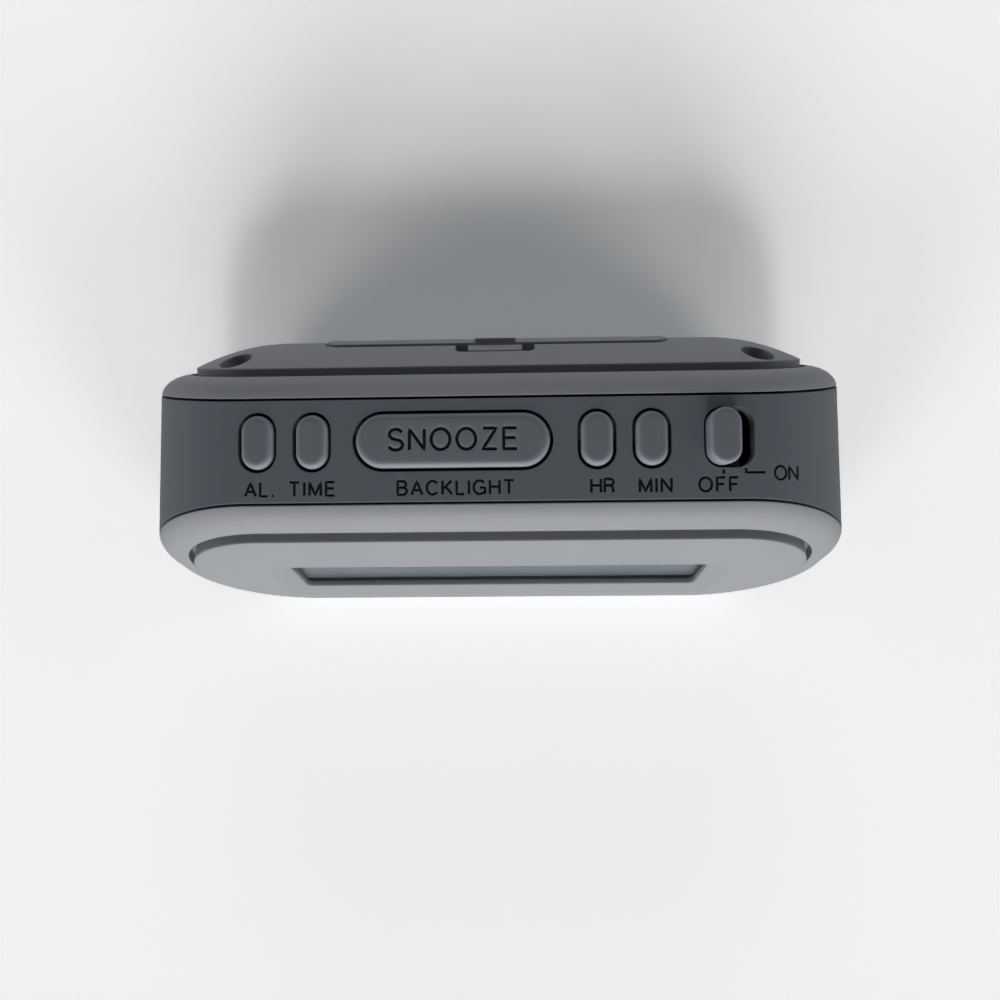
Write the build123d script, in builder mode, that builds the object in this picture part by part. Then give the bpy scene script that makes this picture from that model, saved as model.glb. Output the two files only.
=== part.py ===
from build123d import *
from math import copysign, cos, radians, sin, tan
import os

# Desk alarm clock with a liquid crystal display, built as separate pieces.
#
# Millimetres, +Z up, the display faces -Y and +X is to the right of someone reading it.
# The case is one rounded wedge, cut by two leaning seams into a front shell, a band and a
# rear shell.  Most pieces stand on a plane parallel to one of those seams: `down` is
# measured along the face from the top of its seam, `out` square to it.

# ---------------------------------------------------------------- case
WIDTH = 95.0
HEIGHT = 36.3
TOP_DEPTH = 12.6            # from seam to seam along the top
FRONT_LEAN = radians(20.6)
REAR_LEAN = radians(15.1)
CORNER_R = 17.0
FRONT_DEPTH = 2.62          # from each seam out to the rim of its shell
REAR_DEPTH = 2.78
FRONT_RIM = 4.05            # how far the rounded rims come in, at the sides, above and below
FRONT_RIM_TOP = 3.8
FRONT_RIM_BOTTOM = 6.3
REAR_RIM = 4.1
REAR_RIM_TOP = 4.1
REAR_RIM_BOTTOM = 4.0
WALL = 1.8
SEAM_GAP = 0.3
LIP_DEPTH = 1.6             # how far a shell's lip reaches into the band
LIP_WALL = 1.1
LIP_NOTCH = 74.0            # the lips stop short of the keys
FIT_GAP = 0.1               # between pieces that are assembled once
WEB = 1.1                   # floor of the pockets that the two plates sit in
REACH = 2.0 * HEIGHT        # longer than any piece, for cuts that go right through
BAND_Y = HEIGHT * (tan(FRONT_LEAN) - tan(REAR_LEAN)) / 2    # puts the base's middle at Y 0

# ---------------------------------------------------------------- face plate and window
GROOVE = 1.25               # open groove above and below each plate
SIDE_GROOVE = 0.75
POCKET_CUT = 0.15           # how far the plates' pockets cut into the rounded rims
FACE_CORNER_R = 12.3
FACE_EDGE_OUT = 3.4         # top of the plate's upright wall, from the seam
FACE_RISE = 1.25
FACE_FLAT = 8.2             # height of the plate's flat middle, and its corners
FACE_FLAT_R = 3.6
FACE_SKIN = 1.5
WINDOW_WIDTH = 62.9
WINDOW_HEIGHT = 14.7
WINDOW_R = 2.6
WINDOW_DROP = 0.9           # below the middle of the plate
BEVEL_WIDTH = 2.5
BEVEL_DEPTH = 1.05
LENS_STEP = 0.8             # from the foot of the bevel to the lens
LENS_R = 0.8
LENS_LAP = 1.2
LENS_THICK = 1.0
PEG_R = 1.0
PEG_X = 36.0
PEG_DROP = 7.0

# ---------------------------------------------------------------- display stack
LCD_LAP = 1.5               # how far the glass reaches past the lens opening, each way
LCD_THICK = 2.0
LCD_STEP = 1.6              # the rear glass is taller, for the contact strips
STACK_GAP = 0.08
FRAME_WALL = 1.3
FRAME_LEDGE = 1.0
GUIDE_THICK = 1.4
GUIDE_HEIGHT = 9.0
STRIP_WIDTH = 1.3
STRIP_LENGTH = 56.0
LIGHT_SIZE = 1.6
BOARD_THICK = 1.2
BOARD_WIDTH = 64.0
BOARD_HEIGHT = 25.0
BOARD_R = 2.0
BOARD_SCREW_X = 26.0
BOARD_SCREW_IN = 2.25       # from the board's upper and lower edges
BOSS_R = 1.6
CHIP_SIZE = 10.0
CHIP_THICK = 1.4
CRYSTAL_R = 1.0
CRYSTAL_LENGTH = 6.0
SMALL_SCREW_R = 0.6
SMALL_HEAD_R = 1.3
SMALL_HEAD = 0.8

# ---------------------------------------------------------------- keys on the top
KEY_Y = 1.15                # behind the middle of the band's top
KEY_WIDTH = 3.95
KEY_LENGTH = 6.7
SNOOZE_WIDTH = 23.9
KEY_GAP = 0.4
KEY_PROUD = 0.5
KEY_CROWN_R = 0.8
KEY_TRAVEL = 0.5
KEY_FLANGE = 0.7
KEY_FLANGE_THICK = 0.8
KEY_FLANGE_GAP = 0.15
KEYS = {"alarm": (-29.2, KEY_WIDTH), "time": (-22.43, KEY_WIDTH), "snooze": (-5.05, SNOOZE_WIDTH),
        "hour": (12.61, KEY_WIDTH), "minute": (19.28, KEY_WIDTH)}
PLUNGER_R = 0.9
PLUNGER_PROUD = 0.85        # bare length above the switch body
PLUNGER_IN = 0.5            # length held inside the switch body
PLUNGER_GAP = 0.06
SWITCH_BODY = 4.5
SWITCH_HEIGHT = 1.9
SWITCH_FLOOR = 0.4

# ---------------------------------------------------------------- slide switch
KNOB_X = 27.75              # at the end of its travel marked off
KNOB_WIDTH = 3.8
KNOB_LENGTH = 6.8
KNOB_TRAVEL = 1.8
KNOB_PROUD = 2.1
KNOB_END_GAP = 0.25
KNOB_SIDE_GAP = 0.3
KNOB_CROWN_R = 0.5
KNOB_PLATE_THICK = 0.8
KNOB_PLATE_DROP = 0.5       # below the underside of the top wall
KNOB_PLATE_LEFT = 4.6       # reach of the hidden plate to each side of the knob's middle
KNOB_PLATE_RIGHT = 2.7
KNOB_PLATE_LAP = 0.6
LEVER_WIDTH = 1.6
LEVER_LENGTH = 2.2
LEVER_GAP = 0.06
SLIDER_WIDTH = 8.6
SLIDER_LENGTH = 4.2

# ---------------------------------------------------------------- key board
KEY_BOARD_DEPTH = 8.6
KEY_BOARD_THICK = 1.2
KEY_BOARD_LEFT = -36.0
KEY_BOARD_RIGHT = 38.3
KEY_SCREW_LEFT = -34.0
KEY_SCREW_RIGHT = 36.4

# ---------------------------------------------------------------- back plate
BACK_CORNER_R = 11.6
BACK_EDGE_OUT = 3.7
BACK_RISE = 3.1
BACK_FLAT = 2.6             # height of the plate's flat middle, and its corners
BACK_FLAT_R = 1.2
BACK_SKIN = 1.5
CASE_SCREW_IN = 12.85       # from the sides of the case
CASE_SCREW_EDGE = 3.2       # from the plate's upper and lower edges
CASE_SCREW_HOLE_R = 2.1
CASE_SCREW_SEAT = 2.4       # where the heads bear, out from the rear seam
CASE_SCREW_TUBE_R = 3.3
CASE_SCREW_R = 0.8
CASE_SCREW_LENGTH = 8.5
CASE_HEAD_R = 1.7
CASE_HEAD = 1.0
CASE_POST_R = 2.2
CASE_POST_LENGTH = 7.5
CASE_RIB = 1.3
CASE_RIB_LENGTH = 5.5

# ---------------------------------------------------------------- batteries
DOOR_WIDTH = 47.4
DOOR_TOP = 12.6             # down the rear face
DOOR_BOTTOM_IN = 1.95       # from the plate's lower edge
DOOR_R = 2.0
DOOR_PROUD = 0.25
DOOR_GAP = 0.25
BAY_WALL = 1.1
BAY_FLOOR = 1.1
BAY_LAP = 0.5               # the tray's flange, past the opening in the web above and at the ends
BAY_FLANGE = 0.7
BAY_GAP = 0.3
CELL_R = 5.2
CELL_LENGTH = 44.5
CELL_NUB_R = 1.9
CELL_NUB = 0.9
CELL_OUT = -1.5             # axis of the lower cell, from the rear seam
CELL_DROP = 7.0             # from cell to cell down the face; the upper one lies deeper
CONTACT_THICK = 0.3
CONTACT_SIZE = 8.0
SPRING_ROOM = 1.7           # the squeezed spring, beside the cell
SPRING_WIRE_R = 0.32
SPRING_FOOT_R = 2.7
SPRING_TAPER = 0.28
SPRING_COILS = 5
LATCH_WIDTH = 7.4
LATCH_THICK = 1.0
LATCH_REACH = 2.6           # above the door's upper edge
LATCH_SUNK = 0.05           # below the plate's outside
LATCH_LIP_WIDTH = 5.7
LATCH_LIP_LENGTH = 1.3
LATCH_LIP_FOOT = 1.6        # its bare height and its root
LATCH_LIP_PROUD = 0.1
LATCH_RECESS_WIDTH = 10.7
LATCH_RECESS_REACH = 3.15
LATCH_RECESS_OUT = 3.7
LATCH_RECESS_WALL = 1.2
TAB_WIDTH = 5.0             # the door's two lower tabs, hooked under the plate
TAB_X = 16.0
TAB_REACH = 1.1
TAB_OUT = 2.3
TAB_THICK = 0.9
TAB_WALL = 0.8
TAB_GAP = 0.2

# ---------------------------------------------------------------- sounder
SOUNDER_R = 6.0
SOUNDER_HEIGHT = 3.6
SOUNDER_RING = 0.9
SOUNDER_RING_DEPTH = 1.6


def leaning_plane(side, lean, down, out):
    # on the front (side -1) or rear (side 1) face of the wedge, local Y up the face
    square = Vector(0, side * cos(lean), sin(lean))
    along = Vector(0, side * sin(lean), -cos(lean))
    start = Vector(0, BAND_Y + side * TOP_DEPTH / 2, HEIGHT)
    return Plane(origin=start + along * down + square * out, x_dir=(-side, 0, 0), z_dir=square)


def front(down=0.0, out=0.0):
    return leaning_plane(-1, FRONT_LEAN, down, out)


def rear(down=0.0, out=0.0):
    return leaning_plane(1, REAR_LEAN, down, out)


# the shells' seam outlines, the pockets for the two plates, and the plates
FRONT_LENGTH = HEIGHT / cos(FRONT_LEAN)
REAR_LENGTH = HEIGHT / cos(REAR_LEAN)
FRONT_BOTTOM = FRONT_LENGTH - FRONT_RIM_BOTTOM
REAR_BOTTOM = REAR_LENGTH - REAR_RIM_BOTTOM
FACE_MIDDLE = (FRONT_RIM_TOP + FRONT_BOTTOM) / 2
BACK_MIDDLE = (REAR_RIM_TOP + REAR_BOTTOM) / 2
FACE_POCKET = (WIDTH - 2 * FRONT_RIM, FRONT_BOTTOM - FRONT_RIM_TOP)
BACK_POCKET = (WIDTH - 2 * REAR_RIM, REAR_BOTTOM - REAR_RIM_TOP)
FACE_WIDTH, FACE_HEIGHT = FACE_POCKET[0] - 2 * SIDE_GROOVE, FACE_POCKET[1] - 2 * GROOVE
BACK_WIDTH, BACK_HEIGHT = BACK_POCKET[0] - 2 * SIDE_GROOVE, BACK_POCKET[1] - 2 * GROOVE
CASE_ROUND = min(CORNER_R, HEIGHT / 2 - 0.1)
FACE_ROUND = min(FACE_CORNER_R, FACE_HEIGHT / 2 - 0.1)
BACK_ROUND = min(BACK_CORNER_R, BACK_HEIGHT / 2 - 0.1)
BACK_TOP = REAR_RIM_TOP + GROOVE
BACK_BOTTOM = REAR_BOTTOM - GROOVE
WINDOW_DOWN = FACE_MIDDLE + WINDOW_DROP
BOARD_DOWN = WINDOW_DOWN

# the display stack, from the lens inwards
OPEN_WIDTH = WINDOW_WIDTH - 2 * BEVEL_WIDTH
OPEN_HEIGHT = WINDOW_HEIGHT - 2 * BEVEL_WIDTH
FACE_TOP_OUT = FACE_EDGE_OUT + FACE_RISE
LENS_OUT = FACE_TOP_OUT - BEVEL_DEPTH - LENS_STEP
LENS_BACK = LENS_OUT - LENS_THICK
LCD_OUT = LENS_BACK - STACK_GAP
LCD_BACK = LCD_OUT - LCD_THICK
GUIDE_OUT = LCD_BACK - STACK_GAP
BOARD_OUT = GUIDE_OUT - GUIDE_THICK - STACK_GAP
BOARD_BACK = BOARD_OUT - BOARD_THICK
LCD_WIDTH = OPEN_WIDTH + 2 * LCD_LAP
LCD_HEIGHT = OPEN_HEIGHT + 2 * LCD_LAP
FRAME_WIDTH = LCD_WIDTH + 2 * (FIT_GAP + FRAME_WALL)
FRAME_HEIGHT = LCD_HEIGHT + 2 * (FIT_GAP + FRAME_WALL)

# the keys, from the top wall downwards
KEYS_Y = BAND_Y + KEY_Y
WALL_UNDER = HEIGHT - WALL
FLANGE_TOP = WALL_UNDER - KEY_FLANGE_GAP
FLANGE_FOOT = FLANGE_TOP - KEY_FLANGE_THICK
SWITCH_TOP = FLANGE_FOOT - PLUNGER_PROUD
KEY_BOARD_TOP = SWITCH_TOP - SWITCH_HEIGHT
KNOB_PLATE_TOP = WALL_UNDER - KNOB_PLATE_DROP
KNOB_PLATE_FOOT = KNOB_PLATE_TOP - KNOB_PLATE_THICK
SLOT_MIDDLE = KNOB_X + KNOB_TRAVEL / 2
SLOT_WIDTH = KNOB_WIDTH + KNOB_TRAVEL + 2 * KNOB_END_GAP
SLOT_LENGTH = KNOB_LENGTH + 2 * KNOB_SIDE_GAP

# the battery bay
DOOR_BOTTOM = BACK_BOTTOM - DOOR_BOTTOM_IN
DOOR_HEIGHT = DOOR_BOTTOM - DOOR_TOP
DOOR_MIDDLE = (DOOR_TOP + DOOR_BOTTOM) / 2
CELL_SINK = ((2 * CELL_R + BAY_GAP) ** 2 - CELL_DROP ** 2) ** 0.5
CELL_UPPER_OUT = CELL_OUT - CELL_SINK
BAY_HEIGHT = CELL_DROP + 2 * CELL_R + 2 * BAY_GAP
BAY_BOTTOM = DOOR_BOTTOM + (BAY_HEIGHT - DOOR_HEIGHT) / 2
BAY_MIDDLE = BAY_BOTTOM - BAY_HEIGHT / 2
CELL_LOWER_DOWN = BAY_BOTTOM - BAY_GAP - CELL_R
CELL_UPPER_DOWN = CELL_LOWER_DOWN - CELL_DROP
DEEP_HEIGHT = 2 * CELL_R + 2 * BAY_GAP      # the part of the bay that is deep enough for the upper cell
BAY_UNDER = CELL_R + BAY_GAP / 2
BAY_LENGTH = CELL_LENGTH + 2 * CONTACT_THICK + SPRING_ROOM
TRAY_WIDTH = BAY_LENGTH + 2 * BAY_WALL
TRAY_HEIGHT = BAY_HEIGHT + 2 * BAY_WALL

CASE_SCREW_X = WIDTH / 2 - CASE_SCREW_IN
CASE_SCREW_TOP = BACK_TOP + CASE_SCREW_EDGE
CASE_SCREW_BOTTOM = BACK_BOTTOM - CASE_SCREW_EDGE
SOUNDER_X = -CASE_SCREW_X
SOUNDER_DOWN = (CASE_SCREW_TOP + CASE_SCREW_BOTTOM) / 2
BOARD_SCREW_DROP = BOARD_HEIGHT / 2 - BOARD_SCREW_IN
CASE_SCREW_SPOTS = [(x, down) for x in (-CASE_SCREW_X, CASE_SCREW_X)
                    for down in (CASE_SCREW_TOP, CASE_SCREW_BOTTOM)]
BOARD_SCREW_SPOTS = [(x, y) for x in (-BOARD_SCREW_X, BOARD_SCREW_X)
                     for y in (-BOARD_SCREW_DROP, BOARD_SCREW_DROP)]
KEY_SCREW_SPOTS = [(KEY_SCREW_LEFT, BAND_Y), (KEY_SCREW_RIGHT, BAND_Y)]

upright = Plane(origin=(0, 0, HEIGHT / 2), x_dir=(1, 0, 0), z_dir=(0, -1, 0))


def band_solid():
    # from seam to seam; both outlines are drawn looking along +Y, so that they pair up
    front_seam = front(FRONT_LENGTH / 2)
    rear_seam = rear(REAR_LENGTH / 2)
    with BuildPart() as block:
        with BuildSketch(front_seam):
            RectangleRounded(WIDTH, FRONT_LENGTH, CASE_ROUND)
        with BuildSketch(Plane(origin=rear_seam.origin, x_dir=(1, 0, 0), z_dir=-rear_seam.z_dir)):
            RectangleRounded(WIDTH, REAR_LENGTH, CASE_ROUND)
        loft(ruled=True)
    return block.part


def cap_solid(face, lean, length, depth, side, top, bottom, radius):
    # rounds from the seam's outline to the rim; above and below it first runs on level from the band
    steps = 6
    with BuildPart() as cap:
        for step in range(steps + 1):
            turn = radians(90) * step / steps
            out = depth * sin(turn)
            come_in = 1 - cos(turn)
            level = tan(lean) * out
            above = (top + POCKET_CUT - tan(lean) * depth) * come_in + level
            below = (bottom + POCKET_CUT + tan(lean) * depth) * come_in - level
            with BuildSketch(face((above + length - below) / 2, out)):
                RectangleRounded(WIDTH - 2 * (side + POCKET_CUT) * come_in, length - above - below,
                                 CASE_ROUND + (radius - POCKET_CUT - CASE_ROUND) * come_in)
        loft()
    return cap.part


def lip_solid(face):
    # the thin ring of a shell that reaches into the band, open above for the keys
    inset = WALL + FIT_GAP
    inner = inset + LIP_WALL
    with BuildPart() as ring:
        with BuildSketch(upright):
            RectangleRounded(WIDTH - 2 * inset, HEIGHT - 2 * inset, CASE_ROUND - inset)
            RectangleRounded(WIDTH - 2 * inner, HEIGHT - 2 * inner, CASE_ROUND - inner, mode=Mode.SUBTRACT)
            with Locations((0, HEIGHT / 2)):
                Rectangle(LIP_NOTCH, HEIGHT / 2, mode=Mode.SUBTRACT)
        extrude(amount=REACH, both=True)
        split(bisect_by=face(out=WEB / 2), keep=Keep.BOTTOM)
        split(bisect_by=face(out=-LIP_DEPTH), keep=Keep.TOP)
    return ring.part


def crowned_pad(face, middle, foot, edge, rise, flat, width, height, radius, inner_r):
    # an upright wall from `foot` to `edge`, then a crowned border up to a flat middle
    steps = 5
    border = (height - flat) / 2
    with BuildPart() as pad:
        with BuildSketch(face(middle, foot)):
            RectangleRounded(width, height, radius)
        extrude(amount=edge - foot)
        for step in range(steps + 1):
            share = step / steps
            lift = rise * (1 - (1 - share) ** 2)
            inset = border * share
            with BuildSketch(face(middle, edge + lift)):
                RectangleRounded(width - 2 * inset, height - 2 * inset, radius + (inner_r - radius) * share)
        loft()
    return pad.part


def back_pad(raised=0.0, inset=0.0):
    return crowned_pad(rear, BACK_MIDDLE, WEB, BACK_EDGE_OUT + raised, BACK_RISE, BACK_FLAT,
                       BACK_WIDTH - 2 * inset, BACK_HEIGHT - 2 * inset, BACK_ROUND - inset, BACK_FLAT_R)


def stadium(width, length):
    SlotOverall(max(width, length), min(width, length), rotation=0 if width > length else 90)


def key_stadium(x, width, grow=0.0):
    with Locations((x, KEYS_Y)):
        stadium(width + 2 * grow, KEY_LENGTH + 2 * grow)


def write(name, solid):
    solid.label = name
    export_step(solid, f"parts/{name}.step")


os.makedirs("parts", exist_ok=True)
band_block = band_solid()

# ---------------------------------------------------------------- front shell
front_lip = lip_solid(front)
with BuildPart() as front_shell:
    add(cap_solid(front, FRONT_LEAN, FRONT_LENGTH, FRONT_DEPTH, FRONT_RIM, FRONT_RIM_TOP,
                  FRONT_RIM_BOTTOM, FACE_ROUND + GROOVE))
    split(bisect_by=front(out=SEAM_GAP), keep=Keep.TOP)
    with BuildSketch(front(FACE_MIDDLE, WEB)):
        RectangleRounded(*FACE_POCKET, FACE_ROUND + GROOVE)
    extrude(amount=REACH, mode=Mode.SUBTRACT)
    add(front_lip)
    with BuildSketch(front(BOARD_DOWN, WEB / 2)):
        with Locations(*BOARD_SCREW_SPOTS):
            Circle(BOSS_R)
    extrude(amount=BOARD_OUT - WEB / 2)
    with BuildSketch(front(BOARD_DOWN, WEB / 2)):
        with Locations(*BOARD_SCREW_SPOTS):
            Circle(SMALL_SCREW_R)
    extrude(amount=-REACH, mode=Mode.SUBTRACT)
    with BuildSketch(front(WINDOW_DOWN, REACH)):
        Rectangle(FRAME_WIDTH + 2 * FIT_GAP, FRAME_HEIGHT + 2 * FIT_GAP)
    extrude(amount=-2 * REACH, mode=Mode.SUBTRACT)
    with BuildSketch(front(FACE_MIDDLE, WEB)):
        with Locations(*[(x, y) for x in (-PEG_X, PEG_X) for y in (-PEG_DROP, PEG_DROP)]):
            Circle(PEG_R)
    extrude(amount=-2 * WEB, mode=Mode.SUBTRACT)
write("front_shell", front_shell.part)

# ---------------------------------------------------------------- face plate
face_outside = crowned_pad(front, FACE_MIDDLE, WEB, FACE_EDGE_OUT, FACE_RISE, FACE_FLAT,
                           FACE_WIDTH, FACE_HEIGHT, FACE_ROUND, FACE_FLAT_R)
face_inside = crowned_pad(front, FACE_MIDDLE, WEB, FACE_EDGE_OUT - FACE_SKIN, FACE_RISE, FACE_FLAT,
                          FACE_WIDTH - 2 * FACE_SKIN, FACE_HEIGHT - 2 * FACE_SKIN,
                          FACE_ROUND - FACE_SKIN, FACE_FLAT_R)
with BuildPart() as face_hollow:
    add(face_inside)
    with BuildSketch(front(WINDOW_DOWN, WEB)):
        RectangleRounded(WINDOW_WIDTH + 2 * FACE_SKIN, WINDOW_HEIGHT + 2 * FACE_SKIN, WINDOW_R)
    extrude(amount=REACH, mode=Mode.SUBTRACT)
    with BuildSketch(front(FACE_MIDDLE, WEB)):
        with Locations(*[(x, y) for x in (-PEG_X, PEG_X) for y in (-PEG_DROP, PEG_DROP)]):
            Circle(2 * PEG_R)
    extrude(amount=REACH, mode=Mode.SUBTRACT)
with BuildPart() as face_plate:
    add(face_outside)
    add(face_hollow.part, mode=Mode.SUBTRACT)
    # bevelled window, upright step, pocket for the lens, wider pocket for the display
    with BuildSketch(front(WINDOW_DOWN, FACE_TOP_OUT)):
        RectangleRounded(WINDOW_WIDTH, WINDOW_HEIGHT, WINDOW_R)
    with BuildSketch(front(WINDOW_DOWN, FACE_TOP_OUT - BEVEL_DEPTH)):
        RectangleRounded(OPEN_WIDTH, OPEN_HEIGHT, LENS_R)
    loft(mode=Mode.SUBTRACT)
    with BuildSketch(front(WINDOW_DOWN, FACE_TOP_OUT)):
        RectangleRounded(OPEN_WIDTH, OPEN_HEIGHT, LENS_R)
    extrude(amount=-REACH, mode=Mode.SUBTRACT)
    with BuildSketch(front(WINDOW_DOWN, LENS_OUT)):
        RectangleRounded(OPEN_WIDTH + 2 * (LENS_LAP + FIT_GAP), OPEN_HEIGHT + 2 * (LENS_LAP + FIT_GAP),
                         LENS_LAP)
    extrude(amount=-REACH, mode=Mode.SUBTRACT)
    with BuildSketch(front(WINDOW_DOWN, LENS_BACK)):
        Rectangle(FRAME_WIDTH + 2 * FIT_GAP, FRAME_HEIGHT + 2 * FIT_GAP)
    extrude(amount=-REACH, mode=Mode.SUBTRACT)
    with BuildSketch(front(FACE_MIDDLE, WEB)):
        with Locations(*[(x, y) for x in (-PEG_X, PEG_X) for y in (-PEG_DROP, PEG_DROP)]):
            Circle(PEG_R)
    extrude(amount=-2 * WEB)
write("face_plate", face_plate.part)

with BuildPart() as window_lens:
    with BuildSketch(front(WINDOW_DOWN, LENS_BACK)):
        RectangleRounded(OPEN_WIDTH + 2 * LENS_LAP, OPEN_HEIGHT + 2 * LENS_LAP, LENS_LAP)
    extrude(amount=LENS_THICK)
write("window_lens", window_lens.part)

# ---------------------------------------------------------------- display stack
with BuildPart() as lcd_panel:
    with BuildSketch(front(WINDOW_DOWN, LCD_BACK)):
        Rectangle(LCD_WIDTH, LCD_HEIGHT)
    extrude(amount=LCD_THICK / 2)
    with BuildSketch(front(WINDOW_DOWN - LCD_STEP / 2, LCD_BACK + LCD_THICK / 2)):
        Rectangle(LCD_WIDTH, LCD_HEIGHT - LCD_STEP)
    extrude(amount=LCD_THICK / 2)
write("lcd_panel", lcd_panel.part)

with BuildPart() as light_guide:
    with BuildSketch(front(WINDOW_DOWN, GUIDE_OUT)):
        with Locations((-LIGHT_SIZE / 2, 0)):
            Rectangle(LCD_WIDTH - LIGHT_SIZE - 2 * FIT_GAP, GUIDE_HEIGHT)
    extrude(amount=-GUIDE_THICK)
write("light_guide", light_guide.part)

with BuildPart() as guide_light:
    with BuildSketch(front(WINDOW_DOWN, BOARD_OUT)):
        with Locations(((LCD_WIDTH - LIGHT_SIZE) / 2, 0)):
            Rectangle(LIGHT_SIZE - 2 * FIT_GAP, 2 * LIGHT_SIZE)
    extrude(amount=GUIDE_THICK)
write("guide_light", guide_light.part)

with BuildPart() as contact_strips:
    with BuildSketch(front(WINDOW_DOWN, LCD_BACK)):
        for side in (-1, 1):
            with Locations((0, side * (LCD_HEIGHT - STRIP_WIDTH - 2 * FIT_GAP) / 2)):
                Rectangle(STRIP_LENGTH, STRIP_WIDTH)
    extrude(amount=BOARD_OUT - LCD_BACK)
write("contact_strips", contact_strips.part)

with BuildPart() as display_frame:
    with BuildSketch(front(WINDOW_DOWN, BOARD_OUT)):
        Rectangle(FRAME_WIDTH, FRAME_HEIGHT)
        Rectangle(LCD_WIDTH + 2 * FIT_GAP, LCD_HEIGHT + 2 * FIT_GAP, mode=Mode.SUBTRACT)
    extrude(amount=LCD_OUT - BOARD_OUT - FIT_GAP)
write("display_frame", display_frame.part)

with BuildPart() as main_board:
    with BuildSketch(front(BOARD_DOWN, BOARD_OUT)):
        RectangleRounded(BOARD_WIDTH, BOARD_HEIGHT, BOARD_R)
        with Locations(*BOARD_SCREW_SPOTS):
            Circle(SMALL_SCREW_R + FIT_GAP, mode=Mode.SUBTRACT)
    extrude(amount=-BOARD_THICK)
write("main_board", main_board.part)

with BuildPart() as board_screws:
    with BuildSketch(front(BOARD_DOWN, BOARD_BACK)):
        with Locations(*BOARD_SCREW_SPOTS):
            Circle(SMALL_HEAD_R)
    extrude(amount=-SMALL_HEAD)
    with BuildSketch(front(BOARD_DOWN, BOARD_BACK)):
        with Locations(*BOARD_SCREW_SPOTS):
            Circle(SMALL_SCREW_R)
    extrude(amount=WEB / 2 - BOARD_BACK - FIT_GAP)
write("board_screws", board_screws.part)

with BuildPart() as controller_chip:
    with BuildSketch(front(BOARD_DOWN, BOARD_BACK)):
        with Locations((-8, -1)):
            Rectangle(CHIP_SIZE, CHIP_SIZE)
    extrude(amount=-CHIP_THICK)
    chamfer(controller_chip.faces().sort_by(Axis((0, 0, 0), front().z_dir))[0].edges(), 0.3)
write("controller_chip", controller_chip.part)

with BuildPart() as timing_crystal:
    with Locations(front(BOARD_DOWN, BOARD_BACK - CRYSTAL_R) * Location((8, -2, 0), (0, 90, 0))):
        Cylinder(CRYSTAL_R, CRYSTAL_LENGTH)
    fillet(timing_crystal.edges(), 0.25)
write("timing_crystal", timing_crystal.part)

# ---------------------------------------------------------------- band
with BuildPart() as case_band:
    add(band_block)
    with BuildSketch(upright):
        RectangleRounded(WIDTH - 2 * WALL, HEIGHT - 2 * WALL, CASE_ROUND - WALL)
    extrude(amount=REACH, both=True, mode=Mode.SUBTRACT)
    # posts for the case screws, each on a rib from the nearest wall
    with BuildSketch(rear(0, -SEAM_GAP)):
        with Locations(*[(x, -down) for x, down in CASE_SCREW_SPOTS]):
            Circle(CASE_POST_R)
    extrude(amount=-CASE_POST_LENGTH)
    with BuildSketch(rear(0, -LIP_DEPTH - 2 * FIT_GAP)):
        for x, down in CASE_SCREW_SPOTS:
            with Locations((copysign(WIDTH / 2 - CASE_SCREW_IN / 2, x), -down)):
                Rectangle(CASE_SCREW_IN, CASE_RIB)
    extrude(amount=-CASE_RIB_LENGTH)
    # bosses for the key board under the top wall
    with BuildSketch(Plane.XY.offset(KEY_BOARD_TOP)):
        with Locations(*KEY_SCREW_SPOTS):
            Circle(BOSS_R)
    extrude(amount=HEIGHT - KEY_BOARD_TOP)
    add(band_block, mode=Mode.INTERSECT)
    with BuildSketch(rear(0, REACH)):
        with Locations(*[(x, -down) for x, down in CASE_SCREW_SPOTS]):
            Circle(CASE_SCREW_R)
    extrude(amount=-REACH - CASE_SCREW_LENGTH, mode=Mode.SUBTRACT)
    with BuildSketch(Plane.XY.offset(KEY_BOARD_TOP)):
        with Locations(*KEY_SCREW_SPOTS):
            Circle(SMALL_SCREW_R)
    extrude(amount=1.5, mode=Mode.SUBTRACT)
    # openings for the keys and the slide switch
    with BuildSketch(Plane.XY.offset(WALL_UNDER - 1)):
        for x, width in KEYS.values():
            key_stadium(x, width, KEY_GAP)
        with Locations((SLOT_MIDDLE, KEYS_Y)):
            RectangleRounded(SLOT_WIDTH, SLOT_LENGTH, KNOB_WIDTH / 2 + KNOB_END_GAP)
    extrude(amount=WALL + 2, mode=Mode.SUBTRACT)
write("case_band", case_band.part)

# ---------------------------------------------------------------- keys and their plungers
for name, (x, width) in KEYS.items():
    with BuildPart() as key:
        with BuildSketch(Plane.XY.offset(FLANGE_FOOT)):
            key_stadium(x, width, KEY_FLANGE)
        extrude(amount=KEY_FLANGE_THICK)
        with BuildSketch(Plane.XY.offset(FLANGE_FOOT)):
            key_stadium(x, width)
        extrude(amount=HEIGHT + KEY_PROUD - FLANGE_FOOT)
        fillet(key.edges().group_by(Axis.Z)[-1], KEY_CROWN_R)
    write(f"{name}_button", key.part)
    with BuildPart() as plunger:
        with BuildSketch(Plane.XY.offset(SWITCH_TOP - PLUNGER_IN)):
            with Locations((x, BAND_Y)):
                Circle(PLUNGER_R)
        extrude(amount=PLUNGER_PROUD + PLUNGER_IN)
    write(f"{name}_plunger", plunger.part)

with BuildPart() as key_switches:
    with BuildSketch(Plane.XY.offset(KEY_BOARD_TOP)):
        with Locations(*[(x, BAND_Y) for x, width in KEYS.values()]):
            RectangleRounded(SWITCH_BODY, SWITCH_BODY, 0.4)
    extrude(amount=SWITCH_HEIGHT)
    with BuildSketch(Plane.XY.offset(KEY_BOARD_TOP + SWITCH_FLOOR)):
        with Locations(*[(x, BAND_Y) for x, width in KEYS.values()]):
            Circle(PLUNGER_R + PLUNGER_GAP)
    extrude(amount=SWITCH_HEIGHT, mode=Mode.SUBTRACT)
write("key_switches", key_switches.part)

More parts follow.
